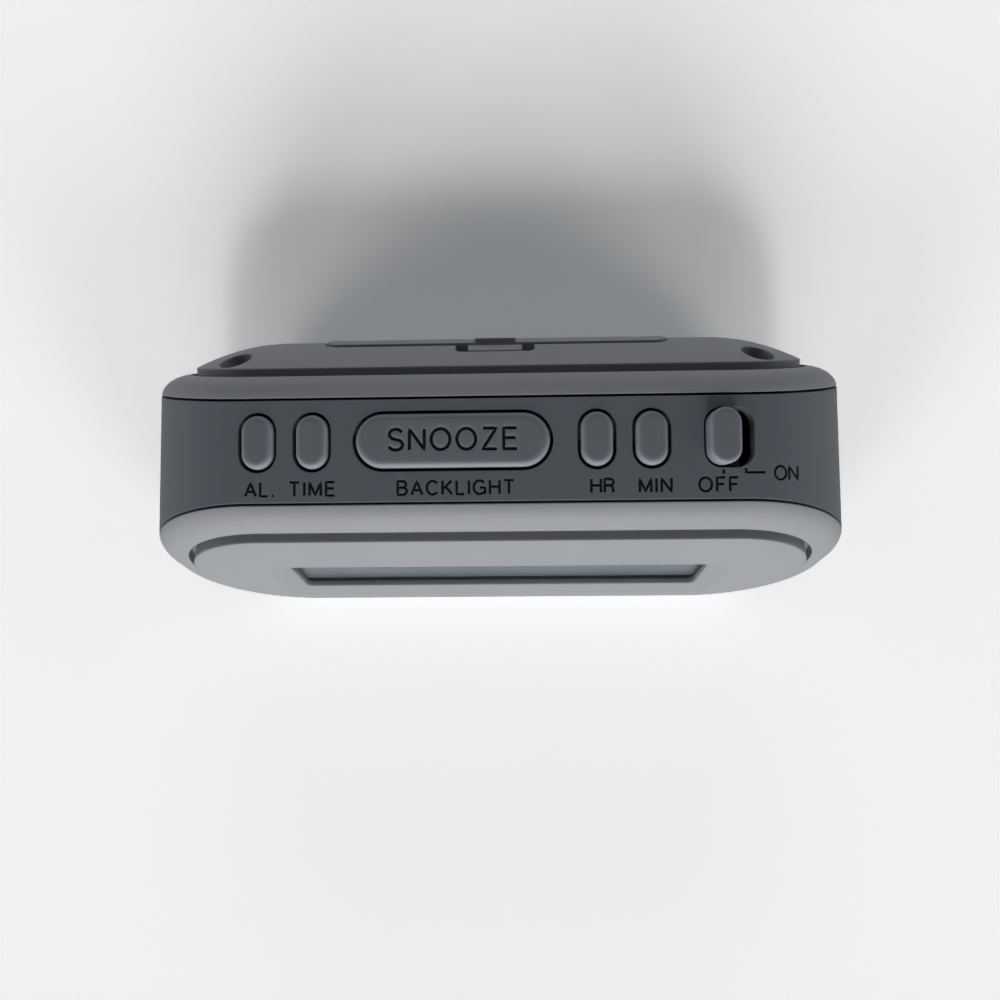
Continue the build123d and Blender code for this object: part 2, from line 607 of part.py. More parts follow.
# ---------------------------------------------------------------- slide switch
with BuildPart() as switch_knob:
    with BuildSketch(Plane.XY.offset(KNOB_PLATE_FOOT)):
        with Locations((KNOB_X + (KNOB_PLATE_RIGHT - KNOB_PLATE_LEFT) / 2, KEYS_Y)):
            RectangleRounded(KNOB_PLATE_LEFT + KNOB_PLATE_RIGHT, SLOT_LENGTH + 2 * KNOB_PLATE_LAP, 0.8)
    extrude(amount=KNOB_PLATE_THICK)
    with BuildSketch(Plane.XY.offset(KNOB_PLATE_FOOT)):
        with Locations((KNOB_X, KEYS_Y)):
            stadium(KNOB_WIDTH, KNOB_LENGTH)
    extrude(amount=HEIGHT + KNOB_PROUD - KNOB_PLATE_FOOT)
    fillet(switch_knob.edges().group_by(Axis.Z)[-1], KNOB_CROWN_R)
    with BuildSketch(Plane.XY.offset(KNOB_PLATE_FOOT)):
        with Locations((KNOB_X, BAND_Y)):
            Rectangle(LEVER_WIDTH + 2 * LEVER_GAP, LEVER_LENGTH + 2 * LEVER_GAP)
    extrude(amount=1.6, mode=Mode.SUBTRACT)
write("switch_knob", switch_knob.part)

with BuildPart() as switch_lever:
    with BuildSketch(Plane.XY.offset(KEY_BOARD_TOP + 2 * SWITCH_FLOOR)):
        with Locations((KNOB_X, BAND_Y)):
            Rectangle(LEVER_WIDTH, LEVER_LENGTH)
    extrude(amount=KNOB_PLATE_FOOT + 1.4 - KEY_BOARD_TOP - 2 * SWITCH_FLOOR)
write("switch_lever", switch_lever.part)

with BuildPart() as slide_switch:
    with BuildSketch(Plane.XY.offset(KEY_BOARD_TOP)):
        with Locations((SLOT_MIDDLE, BAND_Y)):
            Rectangle(SLIDER_WIDTH, SLIDER_LENGTH)
    extrude(amount=SWITCH_HEIGHT)
    with BuildSketch(Plane.XY.offset(KEY_BOARD_TOP + SWITCH_FLOOR)):
        with Locations((SLOT_MIDDLE, BAND_Y)):
            Rectangle(LEVER_WIDTH + KNOB_TRAVEL + 0.6, LEVER_LENGTH + 2 * LEVER_GAP)
    extrude(amount=SWITCH_HEIGHT, mode=Mode.SUBTRACT)
write("slide_switch", slide_switch.part)

# ---------------------------------------------------------------- key board
with BuildPart() as key_board:
    with BuildSketch(Plane.XY.offset(KEY_BOARD_TOP)):
        with Locations(((KEY_BOARD_LEFT + KEY_BOARD_RIGHT) / 2, BAND_Y)):
            RectangleRounded(KEY_BOARD_RIGHT - KEY_BOARD_LEFT, KEY_BOARD_DEPTH, 1.5)
        with Locations(*KEY_SCREW_SPOTS):
            Circle(SMALL_SCREW_R + FIT_GAP, mode=Mode.SUBTRACT)
    extrude(amount=-KEY_BOARD_THICK)
write("key_board", key_board.part)

with BuildPart() as key_board_screws:
    with BuildSketch(Plane.XY.offset(KEY_BOARD_TOP - KEY_BOARD_THICK)):
        with Locations(*KEY_SCREW_SPOTS):
            Circle(SMALL_HEAD_R)
    extrude(amount=-SMALL_HEAD)
    with BuildSketch(Plane.XY.offset(KEY_BOARD_TOP - KEY_BOARD_THICK)):
        with Locations(*KEY_SCREW_SPOTS):
            Circle(SMALL_SCREW_R)
    extrude(amount=KEY_BOARD_THICK + 1.4)
write("key_board_screws", key_board_screws.part)

# ---------------------------------------------------------------- rear shell
rear_lip = lip_solid(rear)
with BuildPart() as rear_shell:
    add(cap_solid(rear, REAR_LEAN, REAR_LENGTH, REAR_DEPTH, REAR_RIM, REAR_RIM_TOP,
                  REAR_RIM_BOTTOM, BACK_ROUND + GROOVE))
    split(bisect_by=rear(out=SEAM_GAP), keep=Keep.TOP)
    with BuildSketch(rear(BACK_MIDDLE, WEB)):
        RectangleRounded(*BACK_POCKET, BACK_ROUND + GROOVE)
    extrude(amount=REACH, mode=Mode.SUBTRACT)
    add(rear_lip)
    with BuildSketch(rear(SOUNDER_DOWN, WEB / 2)):
        with Locations((-SOUNDER_X, 0)):
            Circle(SOUNDER_R + FIT_GAP + SOUNDER_RING)
            Circle(SOUNDER_R + FIT_GAP, mode=Mode.SUBTRACT)
    extrude(amount=-SOUNDER_RING_DEPTH - WEB / 2)
    with BuildSketch(rear(BAY_MIDDLE, REACH)):
        Rectangle(TRAY_WIDTH + 2 * FIT_GAP, TRAY_HEIGHT + 2 * FIT_GAP)
    extrude(amount=-2 * REACH, mode=Mode.SUBTRACT)
    with BuildSketch(rear(0, WEB)):
        with Locations(*[(x, -down) for x, down in CASE_SCREW_SPOTS]):
            Circle(CASE_SCREW_R + FIT_GAP)
    extrude(amount=-2 * WEB, mode=Mode.SUBTRACT)
write("rear_shell", rear_shell.part)

# ---------------------------------------------------------------- back plate
with BuildPart() as back_hollow:
    add(back_pad(raised=-BACK_SKIN, inset=BACK_SKIN))
    with BuildSketch(rear(0, WEB)):
        with Locations(*[(x, -down) for x, down in CASE_SCREW_SPOTS]):
            Circle(CASE_SCREW_TUBE_R)
    extrude(amount=REACH, mode=Mode.SUBTRACT)
    # a floor and walls are left around the finger recess
    with BuildSketch(rear(DOOR_TOP - LATCH_RECESS_REACH / 2, WEB + BAY_FLANGE + FIT_GAP)):
        Rectangle(LATCH_RECESS_WIDTH + 2 * LATCH_RECESS_WALL, LATCH_RECESS_REACH + 2 * LATCH_RECESS_WALL)
    extrude(amount=REACH, mode=Mode.SUBTRACT)
with BuildPart() as back_plate:
    add(back_pad())
    add(back_hollow.part, mode=Mode.SUBTRACT)
    with BuildSketch(rear(BAY_MIDDLE - BAY_LAP / 2, 0)):
        Rectangle(TRAY_WIDTH + 2 * (BAY_LAP + FIT_GAP), TRAY_HEIGHT + BAY_LAP + 2 * FIT_GAP)
    extrude(amount=WEB + BAY_FLANGE + FIT_GAP, mode=Mode.SUBTRACT)
    with BuildSketch(rear(DOOR_MIDDLE, -WEB)):
        RectangleRounded(DOOR_WIDTH + 2 * DOOR_GAP, DOOR_HEIGHT + 2 * DOOR_GAP, DOOR_R + DOOR_GAP)
    extrude(amount=REACH, mode=Mode.SUBTRACT)
    recess_length = LATCH_RECESS_REACH + DOOR_R
    with BuildSketch(rear(DOOR_TOP - LATCH_RECESS_REACH + recess_length / 2, LATCH_RECESS_OUT)):
        RectangleRounded(LATCH_RECESS_WIDTH, recess_length, 0.9)
    extrude(amount=REACH, mode=Mode.SUBTRACT)
    with BuildSketch(rear(DOOR_BOTTOM + (TAB_REACH + TAB_GAP) / 2, 0)):
        with Locations((-TAB_X, 0), (TAB_X, 0)):
            Rectangle(TAB_WIDTH + 2 * TAB_GAP, TAB_REACH + TAB_GAP)
    extrude(amount=TAB_OUT + TAB_THICK + TAB_GAP, mode=Mode.SUBTRACT)
    with BuildSketch(rear(0, CASE_SCREW_SEAT)):
        with Locations(*[(x, -down) for x, down in CASE_SCREW_SPOTS]):
            Circle(CASE_SCREW_HOLE_R)
    extrude(amount=REACH, mode=Mode.SUBTRACT)
    with BuildSketch(rear(0, CASE_SCREW_SEAT)):
        with Locations(*[(x, -down) for x, down in CASE_SCREW_SPOTS]):
            Circle(CASE_SCREW_R + FIT_GAP)
    extrude(amount=-REACH, mode=Mode.SUBTRACT)
write("back_plate", back_plate.part)

with BuildPart() as case_screws:
    with BuildSketch(rear(0, CASE_SCREW_SEAT)):
        with Locations(*[(x, -down) for x, down in CASE_SCREW_SPOTS]):
            Circle(CASE_HEAD_R)
    extrude(amount=CASE_HEAD)
    with BuildSketch(rear(0, CASE_SCREW_SEAT)):
        with Locations(*[(x, -down) for x, down in CASE_SCREW_SPOTS]):
            Circle(CASE_SCREW_R)
    extrude(amount=-CASE_SCREW_LENGTH)
    fillet(case_screws.faces().sort_by(Axis((0, 0, 0), rear().z_dir))[-4:].edges(), 0.35)
write("case_screws", case_screws.part)

# ---------------------------------------------------------------- battery tray, cells and contacts
deep_middle = BAY_MIDDLE - (BAY_HEIGHT - DEEP_HEIGHT) / 2
with BuildPart() as battery_tray:
    with BuildSketch(rear(BAY_MIDDLE, CELL_OUT - BAY_UNDER - BAY_FLOOR)):
        Rectangle(TRAY_WIDTH, TRAY_HEIGHT)
    extrude(amount=WEB - CELL_OUT + BAY_UNDER + BAY_FLOOR)
    with BuildSketch(rear(deep_middle, CELL_UPPER_OUT - BAY_UNDER - BAY_FLOOR)):
        Rectangle(TRAY_WIDTH, DEEP_HEIGHT + 2 * BAY_WALL)
    extrude(amount=CELL_SINK)
    with BuildSketch(rear(BAY_MIDDLE - BAY_LAP / 2, WEB)):
        Rectangle(TRAY_WIDTH + 2 * BAY_LAP, TRAY_HEIGHT + BAY_LAP)
    extrude(amount=BAY_FLANGE)
    with BuildSketch(rear(BAY_MIDDLE, CELL_OUT - BAY_UNDER)):
        Rectangle(BAY_LENGTH, BAY_HEIGHT)
    extrude(amount=REACH, mode=Mode.SUBTRACT)
    with BuildSketch(rear(deep_middle, CELL_UPPER_OUT - BAY_UNDER)):
        Rectangle(BAY_LENGTH, DEEP_HEIGHT)
    extrude(amount=REACH, mode=Mode.SUBTRACT)
write("battery_tray", battery_tray.part)


def cell_frame(side, turned):
    # along the cell from its flat end, beside the bay's end wall; side 1 is the upper cell
    spot = rear(CELL_UPPER_DOWN, CELL_UPPER_OUT) if side > 0 else rear(CELL_LOWER_DOWN, CELL_OUT)
    return Plane(origin=spot.origin, x_dir=spot.y_dir, z_dir=spot.x_dir * turned)


CELL_SHIFT = (BAY_LENGTH - 2 * CONTACT_THICK - CELL_LENGTH) / 2
for name, side, turned in (("battery_upper", 1, 1), ("battery_lower", -1, -1)):
    lie = cell_frame(side, turned)
    with BuildPart() as cell:
        with BuildSketch(lie.offset(CELL_SHIFT - CELL_LENGTH / 2)):
            Circle(CELL_R)
        extrude(amount=CELL_LENGTH - CELL_NUB)
        fillet(cell.edges(), 0.4)
        with BuildSketch(lie.offset(CELL_SHIFT + CELL_LENGTH / 2 - CELL_NUB - 0.1)):
            Circle(CELL_NUB_R)
        extrude(amount=CELL_NUB + 0.1)
    write(name, cell.part)

with BuildPart() as contact_springs:
    for side, turned in ((1, 1), (-1, -1)):
        lie = cell_frame(side, turned)
        with BuildSketch(lie.offset(-BAY_LENGTH / 2)):
            Rectangle(CONTACT_SIZE, CONTACT_SIZE)
        extrude(amount=CONTACT_THICK)
        free = 2 * CELL_SHIFT
        for coil in range(SPRING_COILS):
            pitch = (free - 1.9 * SPRING_WIRE_R) / (SPRING_COILS - 1)
            rise = CONTACT_THICK + 0.8 * SPRING_WIRE_R + coil * pitch
            with Locations(Location(lie.offset(rise - BAY_LENGTH / 2))):
                Torus(SPRING_FOOT_R - SPRING_TAPER * coil, SPRING_WIRE_R)
write("contact_springs", contact_springs.part)

with BuildPart() as contact_tabs:
    for side, turned in ((1, 1), (-1, -1)):
        with BuildSketch(cell_frame(side, turned).offset(BAY_LENGTH / 2)):
            Rectangle(CONTACT_SIZE, CONTACT_SIZE)
        extrude(amount=-CONTACT_THICK)
write("contact_tabs", contact_tabs.part)

# ---------------------------------------------------------------- battery door
tongue = LATCH_REACH + DOOR_R
with BuildPart() as latch:
    add(back_pad(raised=-LATCH_SUNK))
    add(back_pad(raised=-LATCH_SUNK - LATCH_THICK), mode=Mode.SUBTRACT)
    with BuildSketch(rear(DOOR_TOP - LATCH_REACH + tongue / 2, WEB)):
        RectangleRounded(LATCH_WIDTH, tongue, 0.7)
    extrude(amount=REACH, mode=Mode.INTERSECT)
with BuildPart() as battery_door:
    add(back_pad(raised=DOOR_PROUD))
    add(back_pad(raised=-BACK_SKIN), mode=Mode.SUBTRACT)
    with BuildSketch(rear(DOOR_MIDDLE, -WEB)):
        RectangleRounded(DOOR_WIDTH, DOOR_HEIGHT, DOOR_R)
    extrude(amount=REACH, mode=Mode.INTERSECT)
    add(latch.part)
    lip_top = BACK_EDGE_OUT + BACK_RISE + DOOR_PROUD + LATCH_LIP_PROUD
    with BuildSketch(rear(DOOR_TOP + LATCH_LIP_LENGTH / 2, lip_top - LATCH_LIP_FOOT)):
        RectangleRounded(LATCH_LIP_WIDTH, LATCH_LIP_LENGTH, 0.4)
    extrude(amount=LATCH_LIP_FOOT)
    with BuildSketch(rear(DOOR_BOTTOM + (TAB_REACH - TAB_WALL) / 2, TAB_OUT)):
        with Locations((-TAB_X, 0), (TAB_X, 0)):
            Rectangle(TAB_WIDTH, TAB_REACH + TAB_WALL)
    extrude(amount=TAB_THICK)
    with BuildSketch(rear(DOOR_BOTTOM - TAB_WALL / 2, TAB_OUT)):
        with Locations((-TAB_X, 0), (TAB_X, 0)):
            Rectangle(TAB_WIDTH, TAB_WALL)
    extrude(amount=2 * TAB_THICK + TAB_GAP)
write("battery_door", battery_door.part)

# ---------------------------------------------------------------- sounder
with BuildPart() as sounder:
    with BuildSketch(rear(SOUNDER_DOWN, 0)):
        with Locations((-SOUNDER_X, 0)):
            Circle(SOUNDER_R)
    extrude(amount=-SOUNDER_HEIGHT)
    fillet(sounder.edges(), 0.4)
    with BuildSketch(rear(SOUNDER_DOWN, -SOUNDER_HEIGHT)):
        with Locations((-SOUNDER_X, 0)):
            Circle(1.2)
    extrude(amount=1.0, mode=Mode.SUBTRACT)
write("sounder", sounder.part)

base_front = BAND_Y - TOP_DEPTH / 2 - HEIGHT * tan(FRONT_LEAN)
base_rear = BAND_Y + TOP_DEPTH / 2 + HEIGHT * tan(REAR_LEAN)
print("base from", base_front, "to", base_rear, "face", FACE_WIDTH, FACE_HEIGHT, "back", BACK_HEIGHT)
print("door", DOOR_TOP, DOOR_BOTTOM, "bay", BAY_MIDDLE, BAY_HEIGHT, "screws", CASE_SCREW_TOP, CASE_SCREW_BOTTOM)
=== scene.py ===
"""Desk alarm clock: finishes, engraved legends, table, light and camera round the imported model."""
import math

import bmesh
import bpy
from mathutils import Matrix, Vector

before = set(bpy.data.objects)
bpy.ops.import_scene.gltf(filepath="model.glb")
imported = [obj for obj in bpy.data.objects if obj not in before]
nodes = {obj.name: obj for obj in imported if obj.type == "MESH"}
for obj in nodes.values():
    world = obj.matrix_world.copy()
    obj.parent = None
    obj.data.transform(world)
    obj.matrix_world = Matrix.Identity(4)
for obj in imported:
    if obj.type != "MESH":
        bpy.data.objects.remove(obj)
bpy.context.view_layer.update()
scene = bpy.context.scene
MM = 0.001

# ---------------------------------------------------------------- case, as in the CAD source, mm
HEIGHT = 36.3
FRONT_LEAN = math.radians(20.6)
REAR_LEAN = math.radians(15.1)
BAND_Y = HEIGHT * (math.tan(FRONT_LEAN) - math.tan(REAR_LEAN)) / 2      # middle of the top


# ---------------------------------------------------------------- colour and node helpers
def linear(level):
    level = level / 255
    return level / 12.92 if level <= 0.04045 else ((level + 0.055) / 1.055) ** 2.4


def rgb(red, green, blue):
    return (linear(red), linear(green), linear(blue), 1.0)


def add_node(tree, kind, values=None, **settings):
    # values go to the node's input sockets, settings to its own properties
    node = tree.nodes.new("ShaderNode" + kind)
    for name, setting in settings.items():
        setattr(node, name, setting)
    for socket, value in (values or {}).items():
        node.inputs[socket].default_value = value
    return node


def map_range(tree, value, from_min, from_max, to_min, to_max):
    node = add_node(tree, "MapRange", {"From Min": from_min, "From Max": from_max,
                                       "To Min": to_min, "To Max": to_max})
    tree.links.new(value, node.inputs["Value"])
    return node.outputs["Result"]


def calculate(tree, operation, first, second=None):
    node = add_node(tree, "Math", operation=operation)
    tree.links.new(first, node.inputs[0])
    if second:
        tree.links.new(second, node.inputs[1])
    return node.outputs[0]


def add_object(name, data):
    obj = bpy.data.objects.new(name, data)
    scene.collection.objects.link(obj)
    return obj


# ---------------------------------------------------------------- materials
CLOUD_SCALE = 60.0          # soft tone changes, some 15 mm across
GRAIN_HEIGHT = 0.1 * MM
RIM_START, RIM_FULL = 0.99, 0.75    # upward part of the softened normal where the painted highlight on a rounded rim starts and is full


def plastic(name, colour, rough=0.5, grain=0.02, grain_scale=9000.0, specular=0.4, mottling=0.04,
            edge=0.0, rim_highlight=0.0):
    # clouded colour and fine grain; edges softened over `edge` mm; a painted highlight, up to the rim amount,
    # lightens a rounded rim as the surface turns from facing up
    material = bpy.data.materials.new(name)
    material.use_nodes = True
    tree = material.node_tree
    surface = tree.nodes["Principled BSDF"]
    surface.inputs["Roughness"].default_value = rough
    surface.inputs["Specular IOR Level"].default_value = specular
    place = add_node(tree, "TexCoord").outputs["Object"]

    cloud = add_node(tree, "TexNoise", {"Scale": CLOUD_SCALE, "Detail": 4.0})
    tree.links.new(place, cloud.inputs["Vector"])
    tone = map_range(tree, cloud.outputs["Fac"], 0.0, 1.0, 1 - mottling, 1 + mottling)

    fine = add_node(tree, "TexNoise", {"Scale": grain_scale, "Detail": 2.0})
    tree.links.new(place, fine.inputs["Vector"])
    bump = add_node(tree, "Bump", {"Strength": grain, "Distance": GRAIN_HEIGHT})
    tree.links.new(fine.outputs["Fac"], bump.inputs["Height"])
    tree.links.new(bump.outputs["Normal"], surface.inputs["Normal"])

    if edge:
        soft = add_node(tree, "Bevel", {"Radius": edge * MM}, samples=6)
        tree.links.new(soft.outputs["Normal"], bump.inputs["Normal"])
    # painted highlight: a rim is lighter the further its softened normal turns from straight up, as if it
    # caught light from the front
    if rim_highlight:
        upward = add_node(tree, "VectorMath", {1: (0, 0, 1)}, operation="DOT_PRODUCT")
        tree.links.new(soft.outputs["Normal"], upward.inputs[0])
        painted_rim_light = map_range(tree, upward.outputs["Value"], RIM_START, RIM_FULL, 0.0, rim_highlight)
        tone = calculate(tree, "ADD", tone, painted_rim_light)

    shade = add_node(tree, "VectorMath", {0: colour[:3]}, operation="SCALE")
    tree.links.new(tone, shade.inputs["Scale"])
    tree.links.new(shade.outputs["Vector"], surface.inputs["Base Color"])
    return material


def hard_part(name, colour, rough=0.4, metal=0.0, specular=0.5):
    material = plastic(name, colour, rough, 0.03, 4000.0, specular, 0.03)
    material.node_tree.nodes["Principled BSDF"].inputs["Metallic"].default_value = metal
    return material


def clear_plastic(name, colour, rough, specular, ior):
    material = bpy.data.materials.new(name)
    material.use_nodes = True
    surface = material.node_tree.nodes["Principled BSDF"]
    surface.inputs["Base Color"].default_value = colour
    surface.inputs["Roughness"].default_value = rough
    surface.inputs["Specular IOR Level"].default_value = specular
    surface.inputs["Transmission Weight"].default_value = 1.0
    surface.inputs["IOR"].default_value = ior
    return material


shell_grey = plastic("shell_grey", rgb(152, 154, 158), rough=0.55, grain=0.15, edge=0.25)
plate_grey = plastic("plate_grey", rgb(152, 154, 158), rough=0.55, grain=0.15, edge=0.5)
band_grey = plastic("band_grey", rgb(99, 104, 110), grain=0.15, edge=0.15)
# the keys' rounded rims carry a painted highlight
key_grey = plastic("key_grey", rgb(110, 114, 119), grain=0.1, edge=0.8, rim_highlight=0.8)
engraved_dark = plastic("engraved_dark", rgb(30, 31, 34), rough=0.7, grain=0.05, specular=0.15)
inner_dark = plastic("inner_dark", rgb(40, 41, 44), grain=0.05)
lens_clear = clear_plastic("lens_clear", (0.9, 0.92, 0.92, 1), rough=0.12, specular=0.2, ior=1.3)
lcd_grey = hard_part("lcd_grey", rgb(106, 116, 122), rough=0.55, specular=0.15)
screw_steel = hard_part("screw_steel", rgb(150, 150, 153), rough=0.35, metal=1.0)
board_green = hard_part("board_green", rgb(40, 90, 55))
black_resin = hard_part("black_resin", rgb(20, 20, 22), rough=0.45)
cell_jacket = hard_part("cell_jacket", rgb(60, 70, 90), rough=0.35)
guide_clear = hard_part("guide_clear", rgb(210, 215, 218), rough=0.3)

FINISHES = [
    (shell_grey, ["front_shell", "rear_shell"]),
    (plate_grey, ["face_plate", "back_plate", "battery_door"]),
    (band_grey, ["case_band"]),
    (key_grey, ["switch_knob"]),
    (inner_dark, ["display_frame", "battery_tray", "switch_lever"]),
    (lens_clear, ["window_lens"]),
    (lcd_grey, ["lcd_panel"]),
    (guide_clear, ["light_guide", "guide_light"]),
    (board_green, ["main_board", "key_board"]),
    (cell_jacket, ["battery_upper", "battery_lower"]),
    (screw_steel, ["board_screws", "key_board_screws", "case_screws", "timing_crystal", "contact_springs",
                   "contact_tabs"]),
]


def finish_of(name):
    for finish, names in FINISHES:
        if name in names:
            return finish
    return key_grey if name.endswith("_button") else black_resin


for name, obj in nodes.items():
    obj.data.materials.clear()
    obj.data.materials.append(finish_of(name))


# ---------------------------------------------------------------- letters as strokes
def arc(cx, cy, rx, ry, start, end, steps=14):
    turns = [math.radians(start + (end - start) * k / steps) for k in range(steps + 1)]
    return [(cx + rx * math.cos(turn), cy + ry * math.sin(turn)) for turn in turns]


LETTER_STRETCH = 1.13       # the drawn widths are those of a narrower letter

# capitals one unit high: width, and the middle line of each stroke
LETTERS = {
    "A": (0.70, [[(0, 0), (0.35, 1), (0.70, 0)], [(0.13, 0.34), (0.57, 0.34)]]),
    "B": (0.60, [[(0, 0.53), (0, 1), (0.30, 1)] + arc(0.32, 0.765, 0.22, 0.235, 90, -90) + [(0, 0.53)],
                 [(0, 0.53), (0, 0), (0.32, 0)] + arc(0.34, 0.265, 0.25, 0.265, -90, 90)]),
    "C": (0.72, [arc(0.37, 0.5, 0.37, 0.5, 38, 322, 22)]),
    "E": (0.55, [[(0.55, 1), (0, 1), (0, 0), (0.56, 0)], [(0, 0.53), (0.5, 0.53)]]),
    "F": (0.50, [[(0.52, 1), (0, 1), (0, 0)], [(0, 0.52), (0.45, 0.52)]]),
    "G": (0.76, [arc(0.38, 0.5, 0.38, 0.5, 40, 318, 22), [(0.42, 0.47), (0.74, 0.47), (0.74, 0.02)]]),
    "H": (0.62, [[(0, 0), (0, 1)], [(0.62, 0), (0.62, 1)], [(0, 0.53), (0.62, 0.53)]]),
    "I": (0.0, [[(0, 0), (0, 1)]]),
    "K": (0.62, [[(0, 0), (0, 1)], [(0.58, 1), (0, 0.37)], [(0.2, 0.58), (0.62, 0)]]),
    "L": (0.50, [[(0, 1), (0, 0), (0.5, 0)]]),
    "M": (0.74, [[(0, 0), (0, 1), (0.37, 0.04), (0.74, 1), (0.74, 0)]]),
    "N": (0.63, [[(0, 0), (0, 1), (0.63, 0), (0.63, 1)]]),
    "O": (0.80, [arc(0.40, 0.5, 0.40, 0.5, 0, 360, 32)]),
    "R": (0.60, [[(0, 0), (0, 1), (0.34, 1)] + arc(0.34, 0.765, 0.22, 0.235, 90, -90) + [(0, 0.53)],
                 [(0.34, 0.53), (0.50, 0.40), (0.56, 0)]]),
    "S": (0.60, [arc(0.31, 0.755, 0.27, 0.245, 20, 250, 16) + arc(0.30, 0.25, 0.30, 0.25, 70, -160, 16)]),
    "T": (0.62, [[(0, 1), (0.62, 1)], [(0.31, 1), (0.31, 0)]]),
    "Z": (0.60, [[(0.02, 1), (0.58, 1), (0, 0), (0.6, 0)]]),
    ".": (0.08, [[(-0.02, 0.02), (0.1, 0.02)]]),
}


def word_strokes(text, left, right, foot, cap, stroke):
    # the letters are spaced evenly, so that the word runs from `left` to `right` at its outer edges
    size = cap - stroke
    body = sum(LETTERS[letter][0] for letter in text) * LETTER_STRETCH * size
    space = (right - left - stroke - body) / (len(text) - 1)
    x = left + stroke / 2
    y = foot + stroke / 2
    lines = []
    for letter in text:
        width, paths = LETTERS[letter]
        lines += [[(x + px * LETTER_STRETCH * size, y + py * size) for px, py in path] for path in paths]
        x += width * LETTER_STRETCH * size + space
    return lines


# ---------------------------------------------------------------- cutting with hidden cutters
CRISP_ANGLE = math.radians(28)
STROKE_STEP = 0.5           # mm between the points of a groove that follows a curved surface


def cut_with(target, cutter_mesh, finish):
    cutter_mesh.materials.clear()
    cutter_mesh.materials.append(finish)
    cutter = add_object("cutter_" + target.name, cutter_mesh)
    cutter.hide_render = True
    cutter.hide_set(True)
    target.data.materials.append(finish)
    cut = target.modifiers.new("cut", "BOOLEAN")
    cut.operation = "DIFFERENCE"
    cut.solver = "EXACT"
    cut.use_self = True
    cut.material_mode = "TRANSFER"
    cut.object = cutter
    split = target.modifiers.new("crisp_edges", "EDGE_SPLIT")
    split.split_angle = CRISP_ANGLE
    weighted = target.modifiers.new("even_shading", "WEIGHTED_NORMAL")
    weighted.mode = "FACE_AREA"
    weighted.weight = 80


def height_at(target, x, y):
    above = Vector((x, BAND_Y + y, HEIGHT + 5)) * MM
    hit, spot, _, _ = target.ray_cast(above, Vector((0, 0, -1)))
    return spot.z if hit else HEIGHT * MM


def divided(line):
    points = [line[0]]
    for (ax, ay), (bx, by) in zip(line, line[1:]):
        parts = max(1, math.ceil(math.hypot(bx - ax, by - ay) / STROKE_STEP))
        points += [(ax + (bx - ax) * k / parts, ay + (by - ay) * k / parts) for k in range(1, parts + 1)]
    return points


def engrave(target, lines, stroke):
    # a round-bottomed groove along each line, cut by a tube whose middle lies in the surface
    curve = bpy.data.curves.new("tube_" + target.name, "CURVE")
    curve.dimensions = "3D"
    curve.bevel_depth = stroke / 2 * MM
    curve.bevel_resolution = 2
    curve.use_fill_caps = True
    for line in lines:
        points = divided(line)
        closed = math.dist(points[0], points[-1]) < 1e-6
        points = points[:-1] if closed else points
        spline = curve.splines.new("POLY")
        spline.use_cyclic_u = closed
        spline.points.add(len(points) - 1)
        for point, (x, y) in zip(spline.points, points):
            point.co = (x * MM, (BAND_Y + y) * MM, height_at(target, x, y), 1)
    tube = add_object("tube_" + target.name, curve)
    bpy.context.view_layer.update()
    mesh = bpy.data.meshes.new_from_object(tube.evaluated_get(bpy.context.evaluated_depsgraph_get()))
    bpy.data.objects.remove(tube)
    cut_with(target, mesh, engraved_dark)


# ---------------------------------------------------------------- legends, mm from the middle of the top
SMALL_CAP = 1.98
SMALL_STROKE = 0.32
BIG_CAP = 2.95
BIG_STROKE = 0.40

# text, left edge, right edge, foot of the letters
BAND_WORDS = [("AL.", -30.82, -27.0, -5.60), ("TIME", -25.3, -19.45, -5.60),
              ("BACKLIGHT", -11.98, 2.55, -5.60), ("HR", 11.68, 14.75, -5.58), ("MIN", 17.55, 21.7, -5.58),
              ("OFF", 24.75, 29.7, -5.56), ("ON", 34.0, 37.4, -4.20)]
OFF_MARK = [(27.88, -2.45), (27.88, -3.3)]
ON_MARK = [(30.56, -2.6), (30.56, -3.16), (32.95, -3.16)]

band_lines = []
for text, left, right, foot in BAND_WORDS:
    band_lines += word_strokes(text, left, right, foot, SMALL_CAP, SMALL_STROKE)
engrave(nodes["case_band"], band_lines + [OFF_MARK, ON_MARK], SMALL_STROKE)

snooze_lines = word_strokes("SNOOZE", -13.05, 3.02, -0.2, BIG_CAP, BIG_STROKE)
engrave(nodes["snooze_button"], snooze_lines, BIG_STROKE)

# ---------------------------------------------------------------- crossed slots of the case screws
SLOT_LENGTH = 2.0
SLOT_WIDTH = 0.45
SLOT_DEPTH = 0.9


def cross_slots(target):
    # the heads face out of the leaned back, one in each corner
    out = Vector((0, math.cos(REAR_LEAN), math.sin(REAR_LEAN)))
    screws = {}
    for vertex in target.data.vertices:
        corner = (vertex.co.x > 0, vertex.co.z > HEIGHT * MM / 2)
        screws.setdefault(corner, []).append(vertex.co)
    form = bmesh.new()
    for points in screws.values():
        top = max(point.dot(out) for point in points)
        head = [point for point in points if top - point.dot(out) < 0.02 * MM]
        centre = sum(head, Vector()) / len(head)
        lie = Matrix.Translation(centre) @ out.to_track_quat("Z", "Y").to_matrix().to_4x4()
        for across, along in ((SLOT_LENGTH, SLOT_WIDTH), (SLOT_WIDTH, SLOT_LENGTH)):
            size = Vector((across, along, 2 * SLOT_DEPTH)) * MM
            bmesh.ops.create_cube(form, size=1, matrix=lie @ Matrix.Diagonal((*size, 1)))
    mesh = bpy.data.meshes.new("cross_slots")
    form.to_mesh(mesh)
    form.free()
    cut_with(target, mesh, screw_steel)


cross_slots(nodes["case_screws"])

# ---------------------------------------------------------------- table
FLOOR_HALF = 3.0            # metres
FLOOR_SEEN = 1.74           # how bright the table shows to the camera, above its own white


